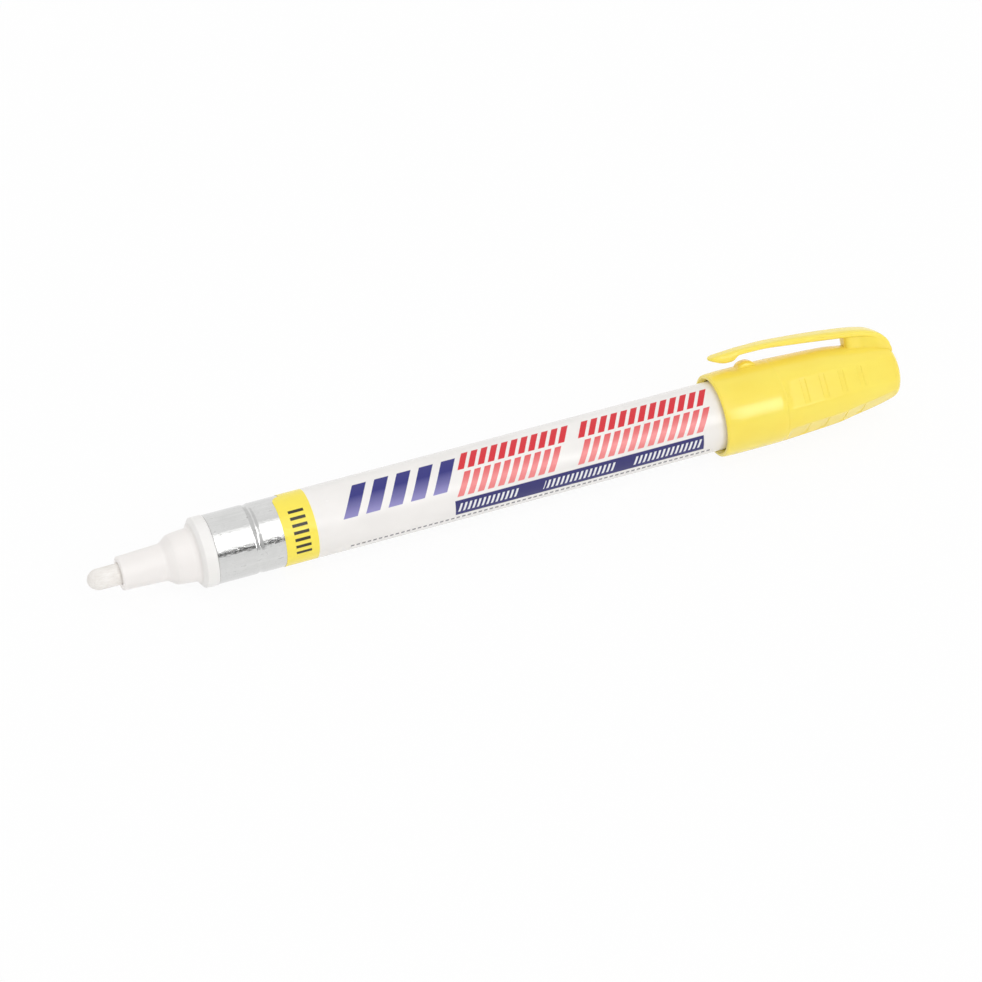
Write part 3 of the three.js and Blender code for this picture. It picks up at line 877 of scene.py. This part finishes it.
# Top and underside of the clip's strip as (distance from the rim, distance from the axis)
CLIP_TOP = [(1.4, 11.72), (1.8, 11.86), (3.2, 12.05), (7.2, 12.23), (12.1, 12.25), (17.8, 11.9),
            (23.5, 11.4), (29.2, 10.72), (32.0, 10.3), (35.0, 9.62), (36.9, 8.8), (38.1, 7.85),
            (38.9, 6.7), (39.25, 5.5)]
CLIP_UNDERSIDE = [(1.4, 11.3), (1.8, 11.1), (2.6, 10.75), (3.6, 10.35), (4.6, 10.12), (5.8, 10.1),
                  (6.5, 10.35), (7.0, 10.8), (7.5, 11.07), (8.6, 11.12), (12.1, 11.1), (17.8, 10.55),
                  (23.5, 9.9), (29.2, 9.2), (32.0, 8.8), (35.0, 8.1), (36.9, 7.0), (38.1, 5.6),
                  (38.9, 4.4), (39.25, 4.0)]

# Spacing of the points on the smooth curves through them
CLIP_SPACING = 0.3


def height_on(line, place):
    """Height of a line of (place, height) points at a place."""
    for (a, p), (b, q) in zip(line, line[1:]):
        if a <= place <= b:
            return p + (q - p) * (place - a) / (b - a)
    return line[-1][1]


def clip_strip():
    """Sections of the clip's strip from its round tip to the bend at the cap's end."""
    top = flowing(CLIP_TOP, CLIP_SPACING)
    low = flowing(CLIP_UNDERSIDE, CLIP_SPACING)

    def half_width(place):
        """Round at the tip, then wider towards the cap's end."""
        full = 1.7 + (place - CLIP_TIP) / (CAP_LENGTH - CLIP_TIP)
        from_tip = min(1, (place - CLIP_TIP + 0.04) / 1.6)
        return full * math.sqrt(1 - (1 - from_tip) ** 2)

    places = [CLIP_TIP, 1.46, 1.56, 1.72, 1.95, 2.25, 2.6, 3.0]
    places += [3.3 + 0.35 * k for k in range(16)]
    places += [9.2 + 1.0 * k for k in range(26)]
    places += [35.0, 35.7, 36.3, 36.9, 37.5, 38.1, 38.5, 38.9, 39.1, 39.25]
    return [(p, height_on(low, p), height_on(top, p), half_width(p)) for p in places]


def clip_web():
    """Sections of the narrower web that carries the strip on the cap, with round front edges."""
    top = flowing(CLIP_TOP, CLIP_SPACING)
    foot = 4.5
    front = [(30.0, 0.95), (30.06, 1.3), (30.22, 1.6), (30.48, 1.84), (30.85, 1.97), (31.4, 2.0)]
    half_widths = front + [(33.0, 2.05), (35.0, 2.35), (36.6, 2.6), (39.0, 2.66)]
    places = [p for p, _ in front]
    places += [32, 33, 33.6, 34.2, 34.8, 35.4, 36, 36.6, 37.2, 37.8, 38.5, 39.0]
    sections = []
    for p in places:
        below = 0.5 - 0.35 * clamp((p - 33) / 3.6)
        sections.append((p, foot, height_on(top, p) - below, height_on(half_widths, p)))
    return sections


def keeper_bump():
    """Sections of the round bump that keeps cloth under the clip."""
    foot = 8.0
    steps = 24
    sections = []
    for k in range(steps + 1):
        angle = math.radians(4 + 172 * k / steps)
        place = KEEPER_START + KEEPER_LENGTH / 2 * (1 - math.cos(angle))
        height = 8.2 + 1.3 * math.sin(angle)
        sections.append((place, foot, height, 0.75 + 0.85 * math.sin(angle) ** 0.5))
    return sections


def cut_flats(cap):
    """Draws the rear of the turned shell in to flats, with its round shape left between them.

    A flat grows out of the groove and runs out towards the cap's end.
    """
    pitch = 360 / FLATS
    grow = 0.8
    run_out_start = 34
    run_out = 5
    dome_radius = 6.0
    for vertex in cap.data.vertices:
        place = vertex.co.x / MM - NIB_TIP - CAP_RIM
        if place < GRIP_STEP + 0.05:
            continue
        y = vertex.co.y
        z = vertex.co.z - AXIS[2]
        radius = math.hypot(y, z) / MM
        if radius < 0.01:
            continue
        angle = math.degrees(math.atan2(-y, z)) - CLIP_LEAN
        side = round(angle / pitch)
        if side % FLATS == 0:
            continue
        off = math.radians(angle - pitch * side)
        share = min(1, (place - GRIP_STEP) / grow)
        share *= 1 - clamp((place - run_out_start) / run_out) ** 2
        full = height_on(CAP_OUTSIDE, place) if place < DOME_START else dome_radius
        flat = (full - FLAT_SINK) / math.cos(off)
        factor = 1 + share * (min(full, flat) / full - 1)
        vertex.co.y = y * factor
        vertex.co.z = AXIS[2] + z * factor


def notch_cutters():
    """Blocks that open upwards, a row of them for each flat, tilted as the flat falls."""
    opening = 3.6
    flare = 4.0
    blocks = []
    for side in range(1, FLATS):
        for i, place in enumerate(NOTCH_PLACES):
            floor = height_on(CAP_OUTSIDE, place) - FLAT_SINK - NOTCH_DEPTH
            fall = height_on(CAP_OUTSIDE, place - 0.5) - height_on(CAP_OUTSIDE, place + 0.5)
            reach = 4.6 - 0.3 * i
            deselect()
            bpy.ops.mesh.primitive_cube_add(
                size=1, location=(along(CAP_RIM + place), 0, AXIS[2] + (floor + 0.5) * MM),
                rotation=(0, math.atan(fall), 0), scale=(NOTCH_WIDTH * MM, reach * MM, 1.0 * MM))
            block = bpy.context.object
            settle(block)
            bpy.ops.object.mode_set(mode="EDIT")
            bpy.ops.mesh.select_all(action="DESELECT")
            bpy.ops.object.mode_set(mode="OBJECT")
            for vertex in block.data.vertices:
                vertex.select = vertex.co.z > AXIS[2] + (floor + 0.5) * MM
            bpy.ops.object.mode_set(mode="EDIT")
            bpy.ops.transform.resize(
                value=(opening / NOTCH_WIDTH, (reach + flare) / reach, 1),
                center_override=(along(CAP_RIM + place), 0, AXIS[2] + (floor + 1) * MM))
            bpy.ops.object.mode_set(mode="OBJECT")
            turn_about_axis(block, CLIP_LEAN + side * 360 / FLATS)
            blocks.append(block)
    deselect()
    for block in blocks:
        block.select_set(True)
    bpy.context.view_layer.objects.active = blocks[0]
    bpy.ops.object.join()
    return blocks[0]


def make_cap():
    """Turned shell with flats and notches, its clip and keeper joined on, then hollowed."""
    lip = [(0.3, 7.2), (0.3, 8.16), (0.36, 8.26), (0.5, 8.35), (0.8, 8.42), (1.4, 8.455)]
    shell = flowing(CAP_OUTSIDE, 0.6)
    dome = [(37.7 + 2.0 * math.sin(math.radians(a)), 3.25 + 2.6 * math.cos(math.radians(a)))
            for a in range(10, 91, 10)]
    outside = [(0.3, 0), *lip, *shell, *dome, (CAP_LENGTH, 0)]
    cap = turned("cap_shell", [(CAP_RIM + p, r) for p, r in outside], 180, closed=False)
    cut_flats(cap)
    combine(cap, notch_cutters(), "DIFFERENCE")
    bars = [
        ("web", clip_web(), 0.06),
        ("strip", clip_strip(), 0.3),
        ("keeper", keeper_bump(), 0.35),
    ]
    for name, sections, corner in bars:
        part = swept(name, sections, corner)
        turn_about_axis(part, CLIP_LEAN)
        combine(cap, part, "UNION")
    mouth = 7.72
    throat = 7.09
    bore = 7.9
    barrel_room = 7.05
    barrel_stop = 14.3
    liner_room = 6.1
    floor = 37.42
    hollow = turned("hollow", [(CAP_RIM + p, *rest) for p, *rest in [
        (-0.5, 0),
        (-0.5, mouth),
        (0.4, mouth, 0.15),
        (1.1, throat, 0.15),
        (1.7, bore, 0.5),
        (10.0, bore, 1.0),
        (10.9, barrel_room, 0.4),
        (barrel_stop, barrel_room),
        (barrel_stop, liner_room, 0.1),
        (28.75, liner_room, 0.6),
        (floor, 4.9),
        (floor, 0),
    ]], 128, closed=False)
    combine(cap, hollow, "DIFFERENCE")
    smooth(cap, 30)
    finished(cap, "yellow_plastic", "cap", "cap")


def make_liner():
    """Small inner cap with a flange, which closes round the nose when the cap is on it."""
    front = 20.7
    flange_back = 21.9
    floor = 36.6
    end = 37.4
    inside = 3.9
    outside = 4.8
    flange = 6.0
    liner = turned("nib_liner", [(CAP_RIM + p, *rest) for p, *rest in [
        (floor, 0),
        (floor, inside, 0.4),
        (front, inside, 0.25),
        (front, flange, 0.15),
        (flange_back, flange, 0.15),
        (flange_back, outside, 0.2),
        (end, outside, 0.4),
        (end, 0),
    ]], 96, closed=False)
    smooth(liner)
    finished(liner, "inner_plastic", "cap_liner", "cap_liner")


make_nib()
make_nose()
make_valve_body()
make_rubber_rings()
make_stem()
make_spring()
make_cage()
make_barrel()
make_label()
make_ball()
make_cap()
make_liner()


# ---------------------------------------------------------------- floor, light and camera

# The widest part of the cap and the edge of the collar touch the floor, so it slopes a little
FLOOR_TOUCH = 47.9 * MM
FLOOR_SLOPE = math.radians(0.778)


def make_floor():
    """Paper that shows white to the camera and in reflections, and keeps the marker's shadow."""
    deselect()
    bpy.ops.mesh.primitive_grid_add(
        x_subdivisions=4, y_subdivisions=4, size=12, location=(FLOOR_TOUCH, 0, -GAP * MM),
        rotation=(0, FLOOR_SLOPE, 0))
    floor = bpy.context.object
    floor.name = "floor"
    settle(floor)
    material = bpy.data.materials.new("floor_paper")
    material.use_nodes = True
    finish = Finish(material.node_tree)
    finish.tree.nodes.clear()
    rays = finish.parts("ShaderNodeLightPath")
    seen = rays["Is Camera Ray"] + rays["Is Glossy Ray"] + rays["Is Transmission Ray"]
    paper = finish.node("ShaderNodeBsdfDiffuse", {}, {"Color": (0.94, 0.94, 0.94, 1)})
    white = finish.node("ShaderNodeEmission", {}, {"Color": (1, 1, 1, 1), "Strength": 1.0})
    share = seen.maths("MINIMUM", seen, 1.0) * 0.93
    both = finish.node("ShaderNodeMixShader", {}, {0: share, 1: paper, 2: white})
    finish.node("ShaderNodeOutputMaterial", {}, {"Surface": both})
    floor.data.materials.append(material)


def world_light():
    """White to the camera, and to the object a sky that changes with the direction.

    Reach is the direction's part along the marker. Turn goes round the marker, from the horizon
    in front over the top to the one behind.
    """
    world = bpy.data.worlds.new("studio")
    bpy.context.scene.world = world
    world.use_nodes = True
    finish = Finish(world.node_tree)
    finish.tree.nodes.clear()
    direction = finish.node("ShaderNodeTexCoord", output=0)
    reach, y, z = finish.parts("ShaderNodeSeparateXYZ", {0: direction}).values()
    turn = z.degrees_from(0 - y)
    sky = 0.47 + 0.3 * turn.rise(5, 35) + 0.03 * turn.rise(60, 110)
    lane = reach.between(-0.06, 0.29, 0.02)
    soft_box = lane * turn.rise(22, 34) * (1 - turn.rise(76, 96))
    dark_edge = lane * turn.between(12, 24, 1.0)
    low_box = lane * (1 - turn.rise(11, 13))
    back_box = lane * turn.rise(92, 98)
    key = reach.between(0.31, 0.385, 0.01) * turn.between(16, 47, 6.0)
    strength = sky + soft_box - 0.5 * dark_edge + 0.5 * low_box + 0.21 * back_box + 10 * key
    lit = finish.node("ShaderNodeBackground", {}, {"Color": (1, 1, 1, 1), "Strength": strength})
    seen = finish.node("ShaderNodeBackground", {}, {"Color": (1, 1, 1, 1), "Strength": 1.0})
    camera_ray = finish.parts("ShaderNodeLightPath")["Is Camera Ray"]
    both = finish.node("ShaderNodeMixShader", {}, {0: camera_ray, 1: lit, 2: seen})
    finish.node("ShaderNodeOutputWorld", {}, {"Surface": both})


def towards(azimuth, elevation):
    """Direction from the marker. Azimuth 0 is on the -Y side, more is towards +X."""
    a = math.radians(azimuth)
    e = math.radians(elevation)
    return Vector((math.sin(a) * math.cos(e), -math.cos(a) * math.cos(e), math.sin(e)))


def lamp(name, azimuth, elevation, distance, width, height, radiance):
    """Soft box aimed at the marker's middle."""
    away = towards(azimuth, elevation)
    deselect()
    bpy.ops.object.light_add(type="AREA", location=away * distance)
    light = bpy.context.object
    light.name = name
    light.rotation_mode = "QUATERNION"
    light.rotation_quaternion = (-away).to_track_quat("-Z", "Y")
    light.data.shape = "RECTANGLE"
    light.data.size = width
    light.data.size_y = height
    light.data.energy = radiance * math.pi * width * height


# Camera fitted to the photograph
LENS = 161.3
CAMERA_AZIMUTH = -21.368
CAMERA_ELEVATION = 43.023
CAMERA_DISTANCE = 0.8636
CAMERA_AIM = Vector((-1.914, 0, 4.184)) * MM


def camera():
    away = towards(CAMERA_AZIMUTH, CAMERA_ELEVATION)
    deselect()
    bpy.ops.object.camera_add(location=CAMERA_AIM + away * CAMERA_DISTANCE)
    seen_by = bpy.context.object
    seen_by.rotation_mode = "QUATERNION"
    seen_by.rotation_quaternion = (-away).to_track_quat("-Z", "Y")
    seen_by.data.lens = LENS
    seen_by.data.sensor_width = 36
    seen_by.data.clip_start = 0.01
    seen_by.data.clip_end = 50
    bpy.context.scene.camera = seen_by


make_floor()
world_light()
lamp("fill", azimuth=-8, elevation=62, distance=1.1, width=0.6, height=0.5, radiance=0.6)
camera()
bpy.context.scene.view_settings.view_transform = "Standard"
